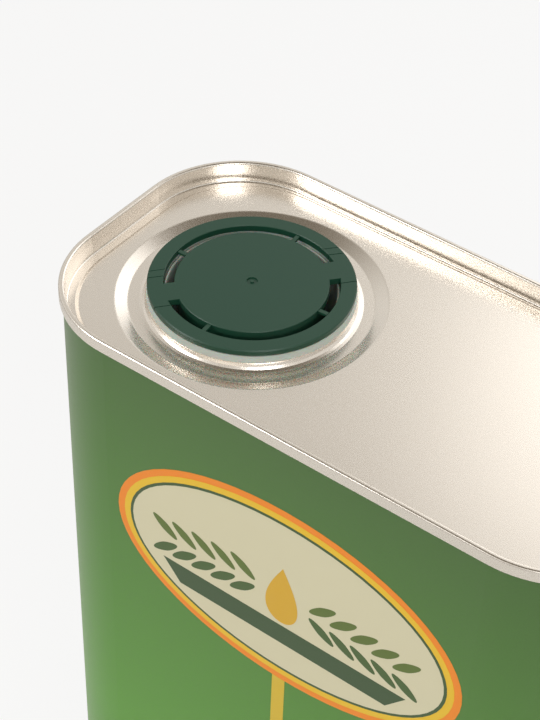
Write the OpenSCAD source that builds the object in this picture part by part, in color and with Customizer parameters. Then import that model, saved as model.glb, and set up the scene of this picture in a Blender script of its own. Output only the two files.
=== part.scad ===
// Rectangular tinplate tin for olive oil, with a pull-up plastic spout under a screw cap.
// The tin stands on z = 0 with its long side along X and its closure towards -X.

/* [Tin] */
// Length of the tin over its seams
tin_l = 152.5; // [130:0.5:220]
// Width of the tin over its seams
tin_w = 77.5; // [74:0.5:110]
// Height of the tin over its seams
tin_h = 295; // [120:1:400]
// Radius of the upright corners at the seams
corner_r = 26.7; // [26:0.1:32]
// Thickness of the wall's tinplate
body_t = 0.2; // [0.16:0.01:0.24]
// Thickness of the tinplate of both ends
end_t = 0.24; // [0.18:0.01:0.28]
// Width of the welded lap on the narrow side
weld_w = 1.2; // [0.6:0.1:3]
// How far the welded lap stands out
weld_t = 0.1; // [0.04:0.01:0.2]

/* [Double seams] */
// Height of the seam
seam_h = 3.15; // [2.8:0.05:3.6]
// Space left between two layers of the seam
seam_gap = 0.06; // [0.03:0.01:0.1]
// Radius at the middle of the plate where the end turns over the seam
seam_bend = 0.4; // [0.25:0.01:0.45]
// Depth below the seam's top at which the end's hook stops
end_hook_d = 1; // [0.8:0.05:1.6]
// Height above the seam's lower edge at which the wall's hook stops
body_hook_up = 0.7; // [0.55:0.05:1.2]
// Thickness of the sealing compound
compound_t = 0.12; // [0.06:0.01:0.2]
// Width of the ring of sealing compound
compound_w = 0.36; // [0.2:0.02:0.4]

/* [Ends] */
// Depth of the raised panel below the seam's top
panel_d = 4.9; // [4.5:0.1:5.1]
// Depth of the countersink's floor below the seam's top
sink_d = 5.3; // [5.1:0.1:6.4]
// How far the chuck wall leans inwards on its way down
chuck_lean = 0.29; // [0.1:0.01:0.6]
// Radius at the middle of the plate at the foot of the chuck wall
sink_r = 0.6; // [0.3:0.05:0.8]
// Width of the countersink's floor along the long sides
sink_w = 0.8; // [0.8:0.05:1.6]
// Extra width of the countersink's floor at both narrow ends
sink_end_w = 1.4; // [0.4:0.1:4]
// Width of the slope up to the raised panel
rise_w = 0.7; // [0.5:0.05:1.2]
// Radius at the middle of the plate at both edges of that slope
rise_r = 0.7; // [0.2:0.05:1]
// Corner radius of the raised panel
panel_r = 23.3; // [22.5:0.1:23.6]
// Distance of the bottom end's inner step from the edge of its panel
step_in = 8; // [3:0.5:14]
// Height of the bottom end's inner step
step_h = 0.4; // [0.3:0.1:1.5]

/* [Neck] */
// Distance of the closure's axis from the tin's closure end
closure_x = 39.65; // [38:0.05:60]
// How far the closure's axis lies in front of the tin's middle
closure_y = 1.2; // [0:0.1:2]
// Radius of the shallow recess around the neck
recess_r = 31.2; // [30:0.1:32]
// Width of the slope into the recess
recess_w = 3; // [1.5:0.1:4]
// Depth of the recess below the panel
recess_d = 1; // [0.8:0.1:1.6]
// Radius at the edges of that slope
recess_bend = 1.6; // [0.5:0.1:2.5]
// Outer radius of the neck
neck_r = 23.5; // [23.3:0.05:24]
// Radius of the opening in the neck
neck_bore_r = 21.25; // [20.8:0.05:21.5]
// Height of the neck above the panel
neck_h = 1.9; // [1.8:0.1:3]
// Radius at the middle of the plate where the neck rises from the recess
neck_foot = 2.2; // [1:0.1:2.2]
// Radius at the middle of the plate over the neck's top edge
neck_roll = 0.48; // [0.3:0.02:0.6]
// Length of the neck's inner limb below its top
neck_limb = 3.4; // [2:0.1:5]

/* [Flange] */
// Thickness of the flange's plate
flange_t = 0.7; // [0.5:0.05:1.2]
// Gap between the flange and the top of the neck
flange_seat = 0.05; // [0.02:0.01:0.15]
// Clearance of the flange round the neck and inside its bore
flange_fit = 0.05; // [0.02:0.01:0.09]
// Thickness of the skirt that snaps over the neck
flange_skirt_t = 0.45; // [0.3:0.05:0.8]
// Depth of that skirt below the flange's plate
flange_skirt_h = 0.85; // [0.5:0.05:1.2]
// Thickness of the flange's inner wall
flange_wall_t = 1; // [0.7:0.05:1.1]
// Height of the snap bead under the neck's inner limb
snap_h = 0.6; // [0.4:0.05:1]
// How far the snap bead stands out from the inner wall
snap_out = 0.5; // [0.2:0.05:0.8]
// Gap between the snap bead and the neck's inner limb
snap_gap = 0.2; // [0.05:0.05:0.4]

/* [Spout] */
// Thickness of the folded wall
film_t = 0.5; // [0.35:0.05:0.6]
// Depth that the folded wall hangs below the flange
film_h = 17; // [15:0.5:22]
// How far the folded wall narrows on its way down
film_taper = 1.65; // [1:0.05:1.8]
// Radius at the middle of the fold
fold_r = 0.6; // [0.5:0.05:0.7]
// Height of the folded wall's inner leg above the fold
film_leg = 0.9; // [0.5:0.1:2]
// Gap between the folded wall and the collar that it carries
film_gap = 0.1; // [0.05:0.05:0.3]
// Thickness of the collar's wall
collar_t = 0.9; // [0.7:0.05:1]
// Outer radius of the mouth
mouth_r = 14.4; // [14:0.05:14.5]
// Radius of the mouth's bore
mouth_bore_r = 13.3; // [12.5:0.1:13.5]
// Height of the mouth above the collar's shoulder
mouth_h = 8.6; // [8.4:0.1:12]
// Thickness of the tear-out membrane
membrane_t = 0.5; // [0.3:0.05:1]
// Depth of the membrane below the mouth's rim
membrane_d = 3.2; // [2.8:0.1:4.5]
// Width of the thin tear line in the membrane
tear_w = 0.5; // [0.3:0.05:1]
// Distance of the tear line from the mouth's bore
tear_in = 0.8; // [0.4:0.1:1.5]
// Plate left under the tear line
tear_t = 0.15; // [0.08:0.01:0.25]
// Outer radius of the pull ring
pull_r = 9.6; // [8:0.1:11]
// Width of the pull ring's band
pull_w = 2; // [1.4:0.1:3]
// Thickness of the pull ring
pull_t = 1.4; // [0.8:0.1:1.6]
// Height of the pull ring above the membrane
pull_up = 0.8; // [0.4:0.1:1]
// Width of the pull ring's post
post_w = 3; // [1.5:0.1:4]

/* [Thread] */
// Rise of the thread in one turn
pitch = 4; // [3.8:0.1:4.2]
// Turns of the thread
turns = 1.25; // [0.75:0.05:1.3]
// Height of the thread on the mouth above its wall
thread_h = 0.8; // [0.5:0.05:0.85]
// Height of the cap's thread inside its skirt
cap_thread_h = 0.9; // [0.5:0.05:0.95]
// Width of the thread at its root
thread_root = 1.3; // [0.9:0.05:1.4]
// Width of the thread at its crest
thread_crest = 0.7; // [0.4:0.05:0.85]

/* [Cap] */
// Outer radius of the cap
cap_r = 23.75; // [23.4:0.05:25]
// Thickness of the cap's disc and ring
cap_t = 1.6; // [1.2:0.1:2.4]
// Gap between the cap and the flange below it
cap_gap = 0.15; // [0.1:0.05:0.4]
// Radius of the cap's disc
disc_r = 17.55; // [17.3:0.05:18]
// Width of the slot between disc and ring
slot_w = 2.5; // [1.8:0.1:2.8]
// Bevel along the edges of the ring
cap_bevel = 0.25; // [0.1:0.05:0.4]
// Direction of the wide bridges, turned from +X
bridge_a = 50; // [0:5:180]
// Half the width of the wide bridges
bridge_half = 3; // [2:0.1:4]
// Distance of the front handle's fold from the bridges' axis
fold_front = 4.7; // [4.2:0.1:7]
// Distance of the back handle's fold from the bridges' axis
fold_back = 5.6; // [4.2:0.1:7]
// Gap of the folds
fold_gap = 0.2; // [0.15:0.05:0.4]
// Distance of the back handle's scored line from its fold
score_in = 2.2; // [1:0.1:4]
// Width of the scored line
score_w = 0.2; // [0.1:0.05:0.4]
// Depth of the scored line
score_d = 0.12; // [0.05:0.01:0.3]
// Width of the tamper bridges
tamper_w = 1; // [0.6:0.1:2]
// Thickness of the tamper bridges
tamper_t = 0.6; // [0.3:0.1:1]
// Gap between the tamper bridges and the handles
tamper_gap = 0.15; // [0.1:0.05:0.3]
// Radius of the dimple in the disc's middle
dimple_r = 1.3; // [0.8:0.1:2]
// Depth of that dimple
dimple_d = 0.3; // [0.1:0.05:0.6]
// Radius of the moulding point inside the dimple
gate_r = 0.45; // [0.2:0.05:0.7]
// Outer radius of the cap's skirt
skirt_r = 16.9; // [16.6:0.1:17.1]
// Thickness of the cap's skirt
skirt_t = 1.2; // [0.9:0.05:1.25]
// Gap between the skirt's lower edge and the collar's shoulder
skirt_gap = 0.7; // [0.4:0.05:1]
// Thickness of the cap's liner
liner_t = 0.9; // [0.5:0.1:1.5]
// Gap between the liner and the skirt
liner_side_gap = 0.4; // [0.2:0.05:0.6]
// Gap above and below the liner
liner_gap = 0.05; // [0.02:0.01:0.15]

/* [Hidden] */
$fn = 96;

// Steps along one rounded bend of a plate's outline
bend_steps = 5;
// A length that cuts right through any piece
through = 100;
// A hair, used to let a cut pass a face
hair = 0.01;
// Overlap of two stretches of the same plate
plate_lap = 0.2;

// Distances of the seam's layers from the tin's outer face, at the middle of each plate
outer_u = end_t/2;
body_hook_u = end_t + seam_gap + body_t/2;
end_hook_u = body_hook_u + body_t/2 + seam_gap + end_t/2;
wall_u = end_hook_u + end_t/2 + seam_gap + body_t/2;
chuck_u = wall_u + body_t/2 + seam_gap + end_t/2;
// Depth of the wall's upper fold, under the end and its compound
body_top_d = end_t + compound_t + seam_gap + body_t/2;

// The countersink and the raised panel
foot_u = chuck_u + chuck_lean;
floor_u = foot_u + sink_w;

// Heights on the tin and its closure
panel_z = tin_h - panel_d;
neck_z = panel_z + neck_h;
flange_z = neck_z + flange_seat;
flange_top = flange_z + flange_t;
ring_z = flange_top + cap_gap;
cap_top = ring_z + cap_t;
rim_z = ring_z - liner_t - 2*liner_gap;
shoulder_z = rim_z - mouth_h;
skirt_end = shoulder_z + skirt_gap;
membrane_z = rim_z - membrane_d;
film_end_z = flange_top - film_h;
leg_z = film_end_z + fold_r + film_leg;

// Radii of the closure
slot_r = disc_r + slot_w;
skirt_bore_r = skirt_r - skirt_t;
flange_wall_r = neck_bore_r - flange_fit;
flange_bore_r = flange_wall_r - flange_wall_t;
flange_skirt_r = neck_r + flange_fit;
film_top_r = flange_bore_r - film_t/2;
film_foot_r = film_top_r - film_taper;
collar_foot_r = film_foot_r - 2*fold_r;
collar_shoulder_r = skirt_r - collar_t/2 - 0.05;

// Direction of a line from a to b
function way(a, b) = (b - a)/norm(b - a);

// The rounded corner b of a path that comes from a and goes on to c
function bend(a, b, c, r) =
    let (p = way(b, a), q = way(b, c), half = acos(p*q)/2,
         m = b + (p + q)/norm(p + q)*r/sin(half),
         s = b + p*r/tan(half) - m, e = b + q*r/tan(half) - m,
         a0 = atan2(s[1], s[0]), turn = atan2(s[0]*e[1] - s[1]*e[0], s*e))
    [for (i = [0:bend_steps]) m + r*[cos(a0 + turn*i/bend_steps), sin(a0 + turn*i/bend_steps)]];

// A path of [x, z, radius] corners with its bends rounded
function rounded(p) =
    [for (i = [0:len(p) - 1])
        let (b = [p[i][0], p[i][1]], last = len(p) - 1)
        each (i == 0 || i == last || p[i][2] == 0) ? [b]
            : bend([p[i-1][0], p[i-1][1]], b, [p[i+1][0], p[i+1][1]], p[i][2])];

// The point beside point i of a path, at distance d
function beside(p, i, d) =
    let (a = way(p[max(i - 1, 0)], p[max(i, 1)]),
         b = way(p[min(i, len(p) - 2)], p[min(i + 1, len(p) - 1)]),
         m = (a + b)/norm(a + b))
    p[i] + [-m[1], m[0]]*d/(m*a);

// Cut through a plate of thickness t whose middle follows a path of corners
module plate_line(corners, t) {
    p = rounded(corners);
    n = len(p) - 1;
    polygon(concat([for (i = [0:n]) beside(p, i, t/2)], [for (i = [n:-1:0]) beside(p, i, -t/2)]));
}

// Carries a cut round a rounded rectangle; x = 0 of the cut lies on the rectangle's edge
module around(l, w, r) {
    for (side = [0, 1]) rotate([0, 0, 180*side]) {
        translate([l/2 - r, w/2 - r, 0])
            rotate([90, 0, 0]) linear_extrude(w - 2*r) translate([r, 0]) children();
        translate([-(l/2 - r), w/2 - r, 0]) rotate([0, 0, 90])
            rotate([90, 0, 0]) linear_extrude(l - 2*r) translate([r, 0]) children();
        translate([l/2 - r, w/2 - r, 0]) rotate_extrude(angle = 90) translate([r, 0]) children();
        translate([-(l/2 - r), w/2 - r, 0]) rotate([0, 0, 90])
            rotate_extrude(angle = 90) translate([r, 0]) children();
    }
}

// Outline of a rounded rectangle
module rounded_rectangle(l, w, r) {
    square([l - 2*r, w], center = true);
    square([l, w - 2*r], center = true);
    for (x = [-1, 1], y = [-1, 1]) translate([x*(l/2 - r), y*(w/2 - r)]) circle(r);
}

// Cut of an end's rim, from its hook over the seam and down to the countersink's floor
module rim_cut() {
    curl = 0.42*(end_hook_u - outer_u);
    plate_line([[-end_hook_u, -end_hook_d, 0],
                [-end_hook_u, -(seam_h - end_t/2), curl],
                [-outer_u, -(seam_h - end_t/2), curl],
                [-outer_u, -end_t/2, seam_bend],
                [-chuck_u, -end_t/2, seam_bend],
                [-foot_u, -(sink_d + end_t/2), sink_r],
                [-floor_u, -(sink_d + end_t/2), 0]], end_t);
}

// Flat stretch before and after a slope that lifts the plate by h, and their width together
function rise_lead(h) = rise_r*tan(atan2(h, rise_w)/2) + seam_gap;
function rise_in(h) = rise_w + 2*rise_lead(h);

// Slope that lifts the plate by h towards the middle of the end
module rise_cut(h) {
    plate_line([[plate_lap, -end_t/2, 0],
                [-rise_lead(h), -end_t/2, rise_r],
                [-rise_lead(h) - rise_w, h - end_t/2, rise_r],
                [-rise_in(h) - plate_lap, h - end_t/2, 0]], end_t);
}

// Size and corner radius of the flat on the raised panel, and of the foot of its slope
panel_in = rise_in(sink_d - panel_d);
flat_l = tin_l - 2*(floor_u + sink_end_w + panel_in);
flat_w = tin_w - 2*(floor_u + panel_in);
foot_l = flat_l + 2*panel_in;
foot_w = flat_w + 2*panel_in;
foot_r = panel_r + panel_in;

// Rim, countersink and the slope of the raised panel; the seam's top lies at z = 0
module end_frame() {
    around(tin_l, tin_w, corner_r) rim_cut();
    translate([0, 0, -sink_d - end_t]) linear_extrude(end_t) difference() {
        rounded_rectangle(tin_l - 2*floor_u, tin_w - 2*floor_u, corner_r - floor_u);
        rounded_rectangle(foot_l, foot_w, foot_r);
    }
    translate([0, 0, -sink_d]) around(foot_l, foot_w, foot_r) rise_cut(sink_d - panel_d);
}

// Places a piece on the closure's axis
module on_closure() {
    translate([closure_x - tin_l/2, -closure_y, 0]) children();
}

// Cut of the recess and the neck; z = 0 lies on the panel
module neck_cut() {
    plate_line([[recess_r + recess_w/2, -end_t/2, 0],
                [recess_r, -end_t/2, recess_bend],
                [recess_r - recess_w, -recess_d - end_t/2, recess_bend],
                [neck_r - end_t/2, -recess_d - end_t/2, neck_foot],
                [neck_r - end_t/2, neck_h - end_t/2, neck_roll],
                [neck_bore_r + end_t/2, neck_h - end_t/2, neck_roll],
                [neck_bore_r + end_t/2, neck_h - neck_limb, 0]], end_t);
}

module can_body() {
    fold = 0.42*(wall_u - body_hook_u);
    hook_d = seam_h - body_hook_up;
    color("forestgreen") {
        translate([0, 0, tin_h]) around(tin_l, tin_w, corner_r)
            plate_line([[-body_hook_u, -hook_d, 0],
                        [-body_hook_u, -body_top_d, fold],
                        [-wall_u, -body_top_d, fold],
                        [-wall_u, body_top_d - tin_h, fold],
                        [-body_hook_u, body_top_d - tin_h, fold],
                        [-body_hook_u, hook_d - tin_h, 0]], body_t);
        translate([wall_u - tin_l/2 - body_t/2 - weld_t, -weld_w/2, seam_h + seam_gap])
            cube([weld_t + body_t/2, weld_w, tin_h - 2*(seam_h + seam_gap)]);
    }
}

module top_end() {
    color("gainsboro") {
        translate([0, 0, tin_h]) end_frame();
        difference() {
            translate([0, 0, panel_z - end_t]) linear_extrude(end_t)
                rounded_rectangle(flat_l, flat_w, panel_r);
            on_closure() translate([0, 0, panel_z - 2*end_t]) cylinder(r = recess_r + recess_w/2, h = 3*end_t);
        }
        on_closure() translate([0, 0, panel_z]) rotate_extrude() neck_cut();
    }
}

module bottom_end() {
    step_l = flat_l - 2*step_in;
    step_w = flat_w - 2*step_in;
    step_r = panel_r - step_in;
    top_in = rise_in(step_h);
    color("silver") mirror([0, 0, 1]) {
        end_frame();
        translate([0, 0, -panel_d]) {
            translate([0, 0, -end_t]) linear_extrude(end_t) difference() {
                rounded_rectangle(flat_l, flat_w, panel_r);
                rounded_rectangle(step_l, step_w, step_r);
            }
            around(step_l, step_w, step_r) rise_cut(step_h);
            translate([0, 0, step_h - end_t]) linear_extrude(end_t)
                rounded_rectangle(step_l - 2*top_in, step_w - 2*top_in, step_r - top_in);
        }
    }
}

// The ring of compound between the end's turn-over and the wall's fold
module compound() {
    color("dimgray") around(tin_l, tin_w, corner_r)
        translate([-(body_hook_u + wall_u)/2 - compound_w/2, -end_t - seam_gap/2 - compound_t])
            square([compound_w, compound_t]);
}

module top_compound() translate([0, 0, tin_h]) compound();

module bottom_compound() mirror([0, 0, 1]) compound();

module spout_flange() {
    limb_z = neck_z - neck_limb;
    wall_end = limb_z - snap_gap - snap_h - 0.2;
    skirt_end_r = flange_skirt_r + flange_skirt_t;
    color("lightgray", 0.8) on_closure() rotate_extrude() polygon([
        [flange_bore_r, flange_top],
        [flange_skirt_r, flange_top],
        [skirt_end_r, flange_z - flange_skirt_t],
        [skirt_end_r, flange_z - flange_skirt_h],
        [flange_skirt_r, flange_z - flange_skirt_h],
        [flange_skirt_r, flange_z],
        [flange_wall_r, flange_z],
        [flange_wall_r, limb_z - snap_gap],
        [flange_wall_r + snap_out, limb_z - snap_gap],
        [flange_wall_r + snap_out, limb_z - snap_gap - snap_h/3],
        [flange_wall_r, limb_z - snap_gap - snap_h],
        [flange_wall_r, wall_end],
        [flange_bore_r, wall_end]]);
}

module folded_wall() {
    color("lightgray", 0.7) on_closure() rotate_extrude()
        plate_line([[film_top_r, flange_top, 0],
                    [film_top_r, flange_top - flange_t, 2],
                    [film_foot_r, film_end_z, 0.98*fold_r],
                    [collar_foot_r, film_end_z, 0.98*fold_r],
                    [collar_foot_r, leg_z, 0]], film_t);
}

// A screw thread's rib: it starts at angle a0 and height z0, and rises to the left
module thread(root, crest, a0, z0) {
    steps = ceil(30*turns);
    fade = 3;
    buried = root + sign(root - crest)*0.3;
    function tip(i) = root + (crest - root)*min(1, i/fade, (steps - i)/fade) + sign(root - crest)*0.05;
    function ring(i) =
        let (a = a0 + 360*turns*i/steps, z = z0 + pitch*turns*i/steps, t = tip(i),
             cut = [[buried, -thread_root/2], [t, -thread_crest/2], [t, thread_crest/2], [buried, thread_root/2]])
        [for (k = crest > root ? [3:-1:0] : [0:3]) [cut[k][0]*cos(a), cut[k][0]*sin(a), z + cut[k][1]]];
    last = 4*steps;
    polyhedron(points = [for (i = [0:steps]) each ring(i)],
               faces = concat([[0, 1, 2, 3]],
                              [for (i = [0:steps - 1], k = [0:3])
                                  let (p = 4*i + k, q = 4*i + (k + 1)%4) each [[p, p + 4, q + 4], [p, q + 4, q]]],
                              [[last + 3, last + 2, last + 1, last]]));
}

// The cap's thread stands half a pitch off the mouth's thread
thread_z = rim_z - thread_root - pitch*turns;
cap_thread_a = 135;
cap_thread_z = thread_z + pitch*cap_thread_a/360 - pitch/2;

module spout_collar() {
    color("lightgray") on_closure() {
        rotate_extrude() {
            plate_line([[collar_foot_r, leg_z + film_gap, 0],
                        [collar_shoulder_r, shoulder_z - collar_t/2, 1],
                        [mouth_bore_r, shoulder_z - collar_t/2, 0]], collar_t);
            translate([mouth_bore_r, shoulder_z - collar_t]) square([mouth_r - mouth_bore_r, mouth_h + collar_t]);
        }
        thread(mouth_r, mouth_r + thread_h, 0, thread_z);
    }
}

module tear_membrane() {
    color("whitesmoke") on_closure() rotate_extrude() difference() {
        translate([0, membrane_z - membrane_t]) square([mouth_bore_r, membrane_t]);
        translate([mouth_bore_r - tear_in - tear_w, membrane_z - membrane_t + tear_t]) square([tear_w, membrane_t]);
    }
}

module pull_ring() {
    color("white") on_closure() translate([0, 0, membrane_z]) {
        translate([0, 0, pull_up]) rotate_extrude()
            translate([pull_r - pull_w, 0]) square([pull_w, pull_t]);
        translate([pull_r - pull_w, -post_w/2, 0]) cube([pull_w - 0.2, post_w, pull_up + pull_t/2]);
    }
}

module cap_liner() {
    color("white") on_closure() translate([0, 0, rim_z + liner_gap])
        cylinder(r = skirt_bore_r - liner_side_gap, h = liner_t);
}

// Turns a piece from the bridges' own axis, along X, to its place on the closure
module on_bridges() {
    on_closure() rotate([0, 0, bridge_a]) children();
}

// The cap's outer ring, with bevelled edges
module cap_ring() {
    translate([0, 0, ring_z]) rotate_extrude() polygon([
        [slot_r, 0],
        [cap_r - cap_bevel, 0],
        [cap_r, cap_bevel],
        [cap_r, cap_t - cap_bevel],
        [cap_r - cap_bevel, cap_t],
        [slot_r + cap_bevel/2, cap_t],
        [slot_r, cap_t - cap_bevel/2]]);
}

// Everything between two lines beside the bridges' axis
module strip(from, to) {
    translate([-through/2, from, ring_z - hair]) cube([through, to - from, cap_t + 2*hair]);
}

module cap() {
    color("darkgreen") {
        on_bridges() {
            difference() {
                translate([0, 0, ring_z]) rotate_extrude() polygon([
                    [0, 0],
                    [disc_r, 0],
                    [disc_r, cap_t - cap_bevel/2],
                    [disc_r - cap_bevel/2, cap_t],
                    [0, cap_t]]);
                translate([0, 0, cap_top - dimple_d]) cylinder(r = dimple_r, h = 2*dimple_d);
            }
            translate([0, 0, cap_top - dimple_d - hair]) cylinder(r = gate_r, h = dimple_d);
            intersection() {
                cap_ring();
                strip(-fold_front + fold_gap/2, fold_back - fold_gap/2);
            }
            intersection() {
                difference() {
                    translate([0, 0, ring_z]) cylinder(r = slot_r + cap_bevel, h = cap_t);
                    translate([0, 0, ring_z - hair]) cylinder(r = disc_r - cap_bevel, h = cap_t + 2*hair);
                }
                strip(-bridge_half, bridge_half);
            }
        }
        on_closure() {
            difference() {
                translate([0, 0, skirt_end]) cylinder(r = skirt_r, h = ring_z - skirt_end + hair);
                translate([0, 0, skirt_end - hair]) cylinder(r = skirt_bore_r, h = ring_z - skirt_end + hair);
            }
            thread(skirt_bore_r, skirt_bore_r - cap_thread_h, cap_thread_a, cap_thread_z);
        }
    }
}

module front_handle() {
    color("green") on_bridges() intersection() {
        cap_ring();
        strip(-through/2, -fold_front - fold_gap/2);
    }
}

module back_handle() {
    color("green") on_bridges() difference() {
        intersection() {
            cap_ring();
            strip(fold_back + fold_gap/2, through/2);
        }
        translate([-through/2, fold_back + score_in, cap_top - score_d]) cube([through, score_w, through]);
    }
}

module tamper_bridges() {
    color("seagreen") for (a = [-45, 45, 135, 225]) on_bridges() rotate([0, 0, a]) intersection() {
        difference() {
            translate([0, 0, cap_top - cap_bevel - tamper_t]) cylinder(r = slot_r - tamper_gap, h = tamper_t);
            translate([0, 0, ring_z]) cylinder(r = disc_r, h = cap_t);
        }
        translate([0, -tamper_w/2, ring_z]) cube([through, tamper_w, cap_t]);
    }
}

can_body();
top_end();
bottom_end();
top_compound();
bottom_compound();
spout_flange();
folded_wall();
spout_collar();
tear_membrane();
pull_ring();
cap_liner();
cap();
front_handle();
back_handle();
tamper_bridges();
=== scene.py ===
import bpy
import math
from mathutils import Matrix, Vector


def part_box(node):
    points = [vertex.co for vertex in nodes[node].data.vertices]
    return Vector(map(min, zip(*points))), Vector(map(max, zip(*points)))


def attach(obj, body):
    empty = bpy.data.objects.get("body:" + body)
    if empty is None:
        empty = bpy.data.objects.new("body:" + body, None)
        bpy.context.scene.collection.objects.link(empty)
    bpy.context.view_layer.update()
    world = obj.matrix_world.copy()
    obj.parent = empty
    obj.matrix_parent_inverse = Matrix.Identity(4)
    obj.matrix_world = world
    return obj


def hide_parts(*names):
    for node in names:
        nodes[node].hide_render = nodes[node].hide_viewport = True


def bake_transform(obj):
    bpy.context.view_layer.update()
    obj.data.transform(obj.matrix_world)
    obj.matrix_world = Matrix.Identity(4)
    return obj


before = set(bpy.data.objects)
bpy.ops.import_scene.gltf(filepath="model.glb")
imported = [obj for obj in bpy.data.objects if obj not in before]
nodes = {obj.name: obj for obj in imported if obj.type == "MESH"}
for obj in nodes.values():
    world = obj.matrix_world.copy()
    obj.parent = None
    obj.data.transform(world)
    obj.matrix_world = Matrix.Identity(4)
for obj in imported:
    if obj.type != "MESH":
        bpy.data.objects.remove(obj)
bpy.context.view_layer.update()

# The view: a steep look down onto the closure from the front right.
# The camera is placed by one known point, the middle of the cap's top: by its distance ahead of
# the lens, and by how far it shows to the right of and above the picture's middle.
mm = 0.001
scene = bpy.context.scene
flange_low, flange_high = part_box("spout_flange")
axis_x = (flange_low[0] + flange_high[0])/2
axis_y = (flange_low[1] + flange_high[1])/2
cap_top = Vector((axis_x, axis_y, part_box("cap")[1][2]))
cap_right_px = -17.836
cap_up_px = 79.194
picture_height_px = 720
focal_px = 1917.27
sensor_mm = 36
distance = 432.5*mm
yaw = math.radians(35.534)
elevation = math.radians(42.279)
roll = math.radians(2.072)
ahead = Vector((-math.cos(elevation)*math.sin(yaw), math.cos(elevation)*math.cos(yaw), -math.sin(elevation)))
level = ahead.cross(Vector((0, 0, 1))).normalized()
upright = level.cross(ahead)
cam_x = math.cos(roll)*level + math.sin(roll)*upright
cam_y = -math.sin(roll)*level + math.cos(roll)*upright
eye = cap_top - distance*(ahead + cam_x*cap_right_px/focal_px + cam_y*cap_up_px/focal_px)
camera = bpy.data.objects.new("camera", bpy.data.cameras.new("camera"))
camera.data.sensor_width = sensor_mm
camera.data.lens = focal_px*sensor_mm/picture_height_px
camera.data.clip_start = 10*mm
camera.matrix_world = Matrix.Translation(eye) @ Matrix((cam_x, cam_y, -ahead)).transposed().to_4x4()
scene.collection.objects.link(camera)
scene.camera = camera
scene.view_settings.view_transform = "Standard"

# The table and the light: a wide white table, a surround that is brightest 33 degrees up and
# dim and warm overhead, two soft lamps in front and a larger one behind.
table_reach = 6
table_white = (0.86, 0.86, 0.86, 1)
table_glow = 0.8


def new_object(name, points, faces):
    mesh = bpy.data.meshes.new(name)
    mesh.from_pydata(points, [], faces)
    made = bpy.data.objects.new(name, mesh)
    scene.collection.objects.link(made)
    return made


def new_material(name, colour, roughness, metallic=0.0):
    material = bpy.data.materials.new(name)
    material.use_nodes = True
    shader = material.node_tree.nodes["Principled BSDF"]
    shader.inputs["Base Color"].default_value = colour
    shader.inputs["Roughness"].default_value = roughness
    shader.inputs["Metallic"].default_value = metallic
    return material, material.node_tree.nodes, material.node_tree.links, shader


corners = [(table_reach*x, table_reach*y, 0) for x, y in ((-1, -1), (1, -1), (1, 1), (-1, 1))]
floor = new_object("floor", corners, [(0, 1, 2, 3)])
paper, tree, links, shader = new_material("white_table", table_white, roughness=0.9)
glow = tree.new("ShaderNodeEmission")
glow.inputs["Strength"].default_value = 1
path = tree.new("ShaderNodeLightPath")
seen = tree.new("ShaderNodeMath")
seen.operation = "MULTIPLY"
seen.inputs[1].default_value = table_glow
mix = tree.new("ShaderNodeMixShader")
links.new(path.outputs["Is Camera Ray"], seen.inputs[0])
links.new(seen.outputs[0], mix.inputs[0])
links.new(shader.outputs[0], mix.inputs[1])
links.new(glow.outputs[0], mix.inputs[2])
links.new(mix.outputs[0], tree["Material Output"].inputs["Surface"])
floor.data.materials.append(paper)

# The surround's colours, by the sine of the angle above the table.
level_glow = (0.5, 0.48, 0.45, 1)
overhead_glow = (0.14, 0.12, 0.09, 1)
glow_between = (
    (0.55, (0.88, 0.86, 0.82, 1)),
    (0.74, (0.62, 0.59, 0.54, 1)),
    (0.86, (0.2, 0.17, 0.13, 1)),
)
world = bpy.data.worlds.new("studio")
scene.world = world
world.use_nodes = True
tree, links = world.node_tree.nodes, world.node_tree.links
place = tree.new("ShaderNodeTexCoord")
split = tree.new("ShaderNodeSeparateXYZ")
ramp = tree.new("ShaderNodeValToRGB")
links.new(place.outputs["Generated"], split.inputs[0])
links.new(split.outputs["Z"], ramp.inputs[0])
links.new(ramp.outputs["Color"], tree["Background"].inputs["Color"])
tree["Background"].inputs["Strength"].default_value = 1
ramp.color_ramp.elements[0].position = 0.0
ramp.color_ramp.elements[0].color = level_glow
ramp.color_ramp.elements[1].position = 1.0
ramp.color_ramp.elements[1].color = overhead_glow
for at, shade in glow_between:
    ramp.color_ramp.elements.new(at).color = shade

# Each lamp's place is counted from the cap's top, at which it is turned.
lamps = (
    ("left_lamp", (-0.5, -0.55, 0.55), 0.35, 2.4),
    ("right_lamp", (0.55, -0.45, 0.5), 0.35, 2),
    ("back_lamp", (0.1, 0.8, 0.45), 0.8, 2),
)
for name, offset, size, watts in lamps:
    lamp = bpy.data.objects.new(name, bpy.data.lights.new(name, "AREA"))
    lamp.data.size = size
    lamp.data.energy = watts
    lamp.location = cap_top + Vector(offset)
    lamp.rotation_euler = (-Vector(offset)).to_track_quat("-Z", "Y").to_euler()
    scene.collection.objects.link(lamp)

# The wall: tinplate printed green before it was rolled and welded.
# The ink has a fine grain under a thin varnish; its green is painted darker at the top and brighter towards
# the base, a painted shade and light on the wall.
wall_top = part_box("can_body")[1][2]
painted_light_reach = 130*mm
ink_rough = 0.4
ink_grain = {"scale": 2600, "depth": 0.02*mm, "low": 0.34, "high": 0.5}
ink_relief = 0.25
grain_detail = 4
speck_share = 0.12
varnish = 0.25
varnish_rough = 0.2

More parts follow.
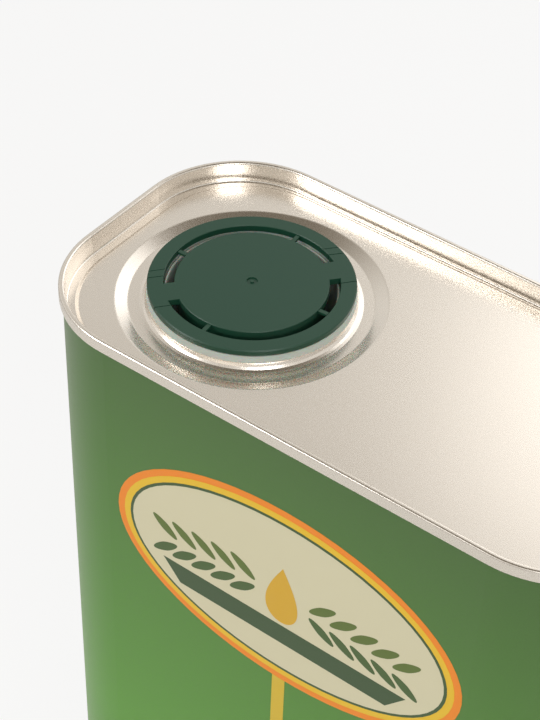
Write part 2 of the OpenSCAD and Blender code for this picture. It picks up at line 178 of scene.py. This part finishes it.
grain = bpy.data.node_groups.new("grain", "ShaderNodeTree")
for socket in ("Scale", "Relief", "Depth", "Rough Low", "Rough High"):
    grain.interface.new_socket(socket, in_out="INPUT", socket_type="NodeSocketFloat")
for socket, kind in (("Mask", "Float"), ("Roughness", "Float"), ("Normal", "Vector")):
    grain.interface.new_socket(socket, in_out="OUTPUT", socket_type="NodeSocket" + kind)
given = grain.nodes.new("NodeGroupInput")
result = grain.nodes.new("NodeGroupOutput")
place = grain.nodes.new("ShaderNodeTexCoord")
noise = grain.nodes.new("ShaderNodeTexNoise")
noise.inputs["Detail"].default_value = grain_detail
relief = grain.nodes.new("ShaderNodeBump")
rough = grain.nodes.new("ShaderNodeMapRange")
grain.links.new(place.outputs["Object"], noise.inputs["Vector"])
grain.links.new(given.outputs["Scale"], noise.inputs["Scale"])
grain.links.new(noise.outputs["Fac"], relief.inputs["Height"])
grain.links.new(given.outputs["Relief"], relief.inputs["Strength"])
grain.links.new(given.outputs["Depth"], relief.inputs["Distance"])
grain.links.new(noise.outputs["Fac"], rough.inputs["Value"])
grain.links.new(given.outputs["Rough Low"], rough.inputs["To Min"])
grain.links.new(given.outputs["Rough High"], rough.inputs["To Max"])
grain.links.new(noise.outputs["Fac"], result.inputs["Mask"])
grain.links.new(rough.outputs["Result"], result.inputs["Roughness"])
grain.links.new(relief.outputs["Normal"], result.inputs["Normal"])


def linear(r, g, b):
    """A colour of 0 to 255 a channel, as the shaders take it."""
    shares = [c/255 for c in (r, g, b)]
    return tuple(c/12.92 if c <= 0.04045 else ((c + 0.055)/1.055)**2.4 for c in shares) + (1,)


def add_grain(tree, links, shader, scale, depth, relief, low, high):
    """Roughness from low to high and a relief, both by one noise, whose mask is given back."""
    node = tree.new("ShaderNodeGroup")
    node.node_tree = grain
    node.inputs["Scale"].default_value = scale
    node.inputs["Depth"].default_value = depth
    node.inputs["Relief"].default_value = relief
    node.inputs["Rough Low"].default_value = low
    node.inputs["Rough High"].default_value = high
    links.new(node.outputs["Roughness"], shader.inputs["Roughness"])
    links.new(node.outputs["Normal"], shader.inputs["Normal"])
    return node.outputs["Mask"]


def mix_colours(tree, links, share, first, second, how="MIX"):
    """The mix of two colours. The share and either colour may be a value or another node's socket."""
    node = tree.new("ShaderNodeMix")
    node.data_type = "RGBA"
    node.blend_type = how
    sockets = {socket.identifier: socket for socket in node.inputs}
    for which, value in (("Factor_Float", share), ("A_Color", first), ("B_Color", second)):
        if isinstance(value, bpy.types.NodeSocket):
            links.new(value, sockets[which])
        else:
            sockets[which].default_value = value
    return {socket.identifier: socket for socket in node.outputs}["Result_Color"]


def finish_nodes(material, *names):
    for name in names:
        nodes[name].data.materials.clear()
        nodes[name].data.materials.append(material)


mean_green = linear(80, 128, 48)
# Painted shade and light: the green at the wall's top is a darker shaded tone, and the green towards the
# base is a brighter lit tone.
shaded_upper_green = linear(62, 100, 38)
lit_lower_green = linear(84, 150, 34)
green_print_painted_light, tree, links, shader = new_material("green_print_painted_light", mean_green, roughness=ink_rough)
mask = add_grain(tree, links, shader, relief=ink_relief, **ink_grain)
place = tree.new("ShaderNodeTexCoord")
split = tree.new("ShaderNodeSeparateXYZ")
links.new(place.outputs["Object"], split.inputs[0])
# The painted light fades from the shaded green at the wall's top to the lit green lower down.
painted_light_fade = tree.new("ShaderNodeMapRange")
painted_light_fade.inputs["From Min"].default_value = wall_top
painted_light_fade.inputs["From Max"].default_value = wall_top - painted_light_reach
links.new(split.outputs["Z"], painted_light_fade.inputs["Value"])
ink = mix_colours(tree, links, painted_light_fade.outputs["Result"], shaded_upper_green, lit_lower_green)
speckled = mix_colours(tree, links, speck_share, ink, mask, how="OVERLAY")
links.new(speckled, shader.inputs["Base Color"])
shader.inputs["Coat Weight"].default_value = varnish
shader.inputs["Coat Roughness"].default_value = varnish_rough
finish_nodes(green_print_painted_light, "can_body")

# Both ends: bare tinplate with a dull lacquer, stamped and seamed onto the wall.
# The compound in the seams is a dark rubber.
mean_tin = linear(232, 224, 214)
dull_tin = linear(228, 219, 208)
bright_tin = linear(243, 238, 231)
seam_grey = linear(60, 60, 58)
plate, tree, links, shader = new_material("tinplate", mean_tin, roughness=0.3, metallic=1)
mask = add_grain(tree, links, shader, scale=3200, depth=0.01*mm, relief=0.3, low=0.2, high=0.34)
tint = mix_colours(tree, links, mask, dull_tin, bright_tin)
links.new(tint, shader.inputs["Base Color"])
finish_nodes(plate, "top_end", "bottom_end")
rubber, tree, links, shader = new_material("seam_rubber", seam_grey, roughness=0.8)
add_grain(tree, links, shader, scale=4000, depth=0.01*mm, relief=0.2, low=0.7, high=0.9)
finish_nodes(rubber, "top_compound", "bottom_compound")

# The closure: a dark green cap with fold-up handles on a translucent spout, both moulded,
# with a faint orange-peel skin. A disc of soft foam lies inside the cap.
cap_green = linear(24, 68, 50)
spout_milk = linear(186, 194, 186)
foam_white = linear(235, 235, 230)
milky_share = 0.35
milky_depth = 1.5*mm
green, tree, links, shader = new_material("green_plastic", cap_green, roughness=0.38)
add_grain(tree, links, shader, scale=1800, depth=0.02*mm, relief=0.2, low=0.32, high=0.46)
finish_nodes(green, "cap", "front_handle", "back_handle", "tamper_bridges")
milky, tree, links, shader = new_material("natural_plastic", spout_milk, roughness=0.3)
add_grain(tree, links, shader, scale=1500, depth=0.02*mm, relief=0.15, low=0.25, high=0.4)
shader.inputs["Subsurface Weight"].default_value = milky_share
shader.inputs["Subsurface Scale"].default_value = milky_depth
finish_nodes(milky, "spout_flange", "spout_collar", "tear_membrane", "pull_ring")
foam, tree, links, shader = new_material("liner_foam", foam_white, roughness=0.8)
add_grain(tree, links, shader, scale=2500, depth=0.03*mm, relief=0.4, low=0.7, high=0.9)
finish_nodes(foam, "cap_liner")

# The folded wall: a thin skirt of the same plastic between flange and collar.
# It hangs inside the neck as a cone and turns inside out as the spout comes up.
# Its sheet lies a little way in from the sides of the space that its solid takes.
film_low, film_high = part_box("folded_wall")
film_t = 0.4*mm
film_in = 0.3*mm
film_foot_r = 17.3*mm
film_top_r = (film_high[0] - film_low[0])/2 - film_in
film_top_z = film_high[2] - film_in
film_fall = film_high[2] - film_low[2] - 2*film_in
film_rings = 28
film_sides = 96
film_points = []
film_faces = []
for i in range(film_rings + 1):
    part = i/film_rings
    radius = film_top_r + (film_foot_r - film_top_r)*part
    for k in range(film_sides):
        turn = 2*math.pi*k/film_sides
        x = axis_x + radius*math.cos(turn)
        y = axis_y + radius*math.sin(turn)
        film_points.append((x, y, film_top_z - film_fall*part))
for i in range(film_rings):
    for k in range(film_sides):
        here = i*film_sides + k
        beside = i*film_sides + (k + 1) % film_sides
        film_faces.append((here, here + film_sides, beside + film_sides, beside))
film = new_object("folded_film", film_points, film_faces)
film.data.shade_smooth()
film.data.materials.append(milky)
wall = film.modifiers.new("wall", "SOLIDIFY")
wall.thickness = film_t
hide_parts("folded_wall")
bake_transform(film)

# The print on the front: an oval medallion with a golden border, a drop and two leaf sprays
# over a plain dark band, and a stripe from the medallion down to the foot of the wall.
# Each colour is a layer of ink on the plate, which lies a little behind the seam's face.
ink_t = 0.04*mm
print_relief = 0.2
wall_in = 0.86*mm
front_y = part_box("top_end")[0][1] + wall_in
medal_x = 1*mm
medal_z = 246*mm
medal_wide = 47.5*mm
medal_tall = 28*mm


def inked(name, outline, layer, colour):
    """One flat piece of ink. Layer 0 lies on the plate, and the next ones reach further forward."""
    count = len(outline)
    front = front_y - ink_t*(layer + 1)
    points = [(x, front, z) for x, z in outline] + [(x, front_y, z) for x, z in outline]
    faces = [tuple(range(count)), tuple(range(2*count - 1, count - 1, -1))]
    faces += [(k, k + count, (k + 1) % count + count, (k + 1) % count) for k in range(count)]
    piece = new_object(name, points, faces)
    material, tree, links, shader = new_material(name + "_ink", linear(*colour), roughness=ink_rough)
    add_grain(tree, links, shader, relief=print_relief, **ink_grain)
    piece.data.materials.append(material)
    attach(piece, "tin")


def oval(x, z, wide, tall, turn=0.0, point=1.0, steps=64):
    """An outline of half sizes wide and tall, turned, and pointed at its ends where point is over 1."""
    outline = []
    for k in range(steps):
        a = 2*math.pi*k/steps
        u = wide*math.copysign(abs(math.cos(a))**point, math.cos(a))
        v = tall*math.sin(a)
        outline.append((x + u*math.cos(turn) - v*math.sin(turn), z + u*math.sin(turn) + v*math.cos(turn)))
    return outline


# Each ring of the medallion, how far it lies in from the edge, and its colour.
medallion = (
    ("medallion_border", 0, (240, 138, 28)),
    ("medallion_inner_border", 1.9*mm, (232, 190, 40)),
    ("medallion_rim", 3.7*mm, (62, 88, 50)),
    ("medallion_field", 4.5*mm, (214, 208, 176)),
)
for layer, (name, inset, colour) in enumerate(medallion):
    inked(name, oval(medal_x, medal_z, medal_wide - inset, medal_tall - inset), layer, colour)
field_layer = len(medallion)

drop_wide = 6*mm
drop_tall = 9*mm
drop_up = 1*mm
drop_taper = 1.2
drop_steps = 48
drop_gold = (214, 168, 40)
drop = []
for k in range(drop_steps):
    a = 2*math.pi*k/drop_steps
    x = medal_x + drop_wide*math.sin(a)*math.sin(a/2)**drop_taper
    drop.append((x, medal_z + drop_up + drop_tall*math.cos(a)))
inked("oil_drop", drop, field_layer, drop_gold)

leaves_in_row = 5
leaf_first = 11*mm
leaf_step = 5.6*mm
leaf_off_stem = 3.4*mm
leaf_sink = 0.5*mm
leaf_long = 4.2*mm
leaf_wide = 1.3*mm
leaf_tilt = 0.6
leaf_point = 1.4
leaf_steps = 28
low_leaf_green = (70, 96, 46)
high_leaf_green = (92, 112, 44)
for side, side_name in ((-1, "left"), (1, "right")):
    for k in range(leaves_in_row):
        leaf_x = medal_x + side*(leaf_first + leaf_step*k)
        for up, row_name, colour in ((-1, "low", low_leaf_green), (1, "high", high_leaf_green)):
            leaf_z = medal_z + up*leaf_off_stem - leaf_sink*k
            leaf = oval(leaf_x, leaf_z, leaf_long, leaf_wide, side*up*leaf_tilt, leaf_point, leaf_steps)
            inked("leaf_%s_%d_%s" % (side_name, k + 1, row_name), leaf, field_layer, colour)

band_top_half = 34*mm
band_foot_half = 29*mm
band_top_z = medal_z - 9*mm
band_foot_z = medal_z - 15*mm
band_green = (60, 84, 50)
band = [
    (medal_x + band_top_half, band_top_z),
    (medal_x + band_foot_half, band_foot_z),
    (medal_x - band_foot_half, band_foot_z),
    (medal_x - band_top_half, band_top_z),
]
inked("plain_band", band, field_layer, band_green)

stripe_half = 1.8*mm
stripe_foot_z = 12*mm
stripe_top_z = medal_z - medal_tall
stripe_gold = (214, 182, 48)
stripe = [
    (medal_x - stripe_half, stripe_foot_z),
    (medal_x - stripe_half, stripe_top_z),
    (medal_x + stripe_half, stripe_top_z),
    (medal_x + stripe_half, stripe_foot_z),
]
inked("oil_stripe", stripe, 0, stripe_gold)
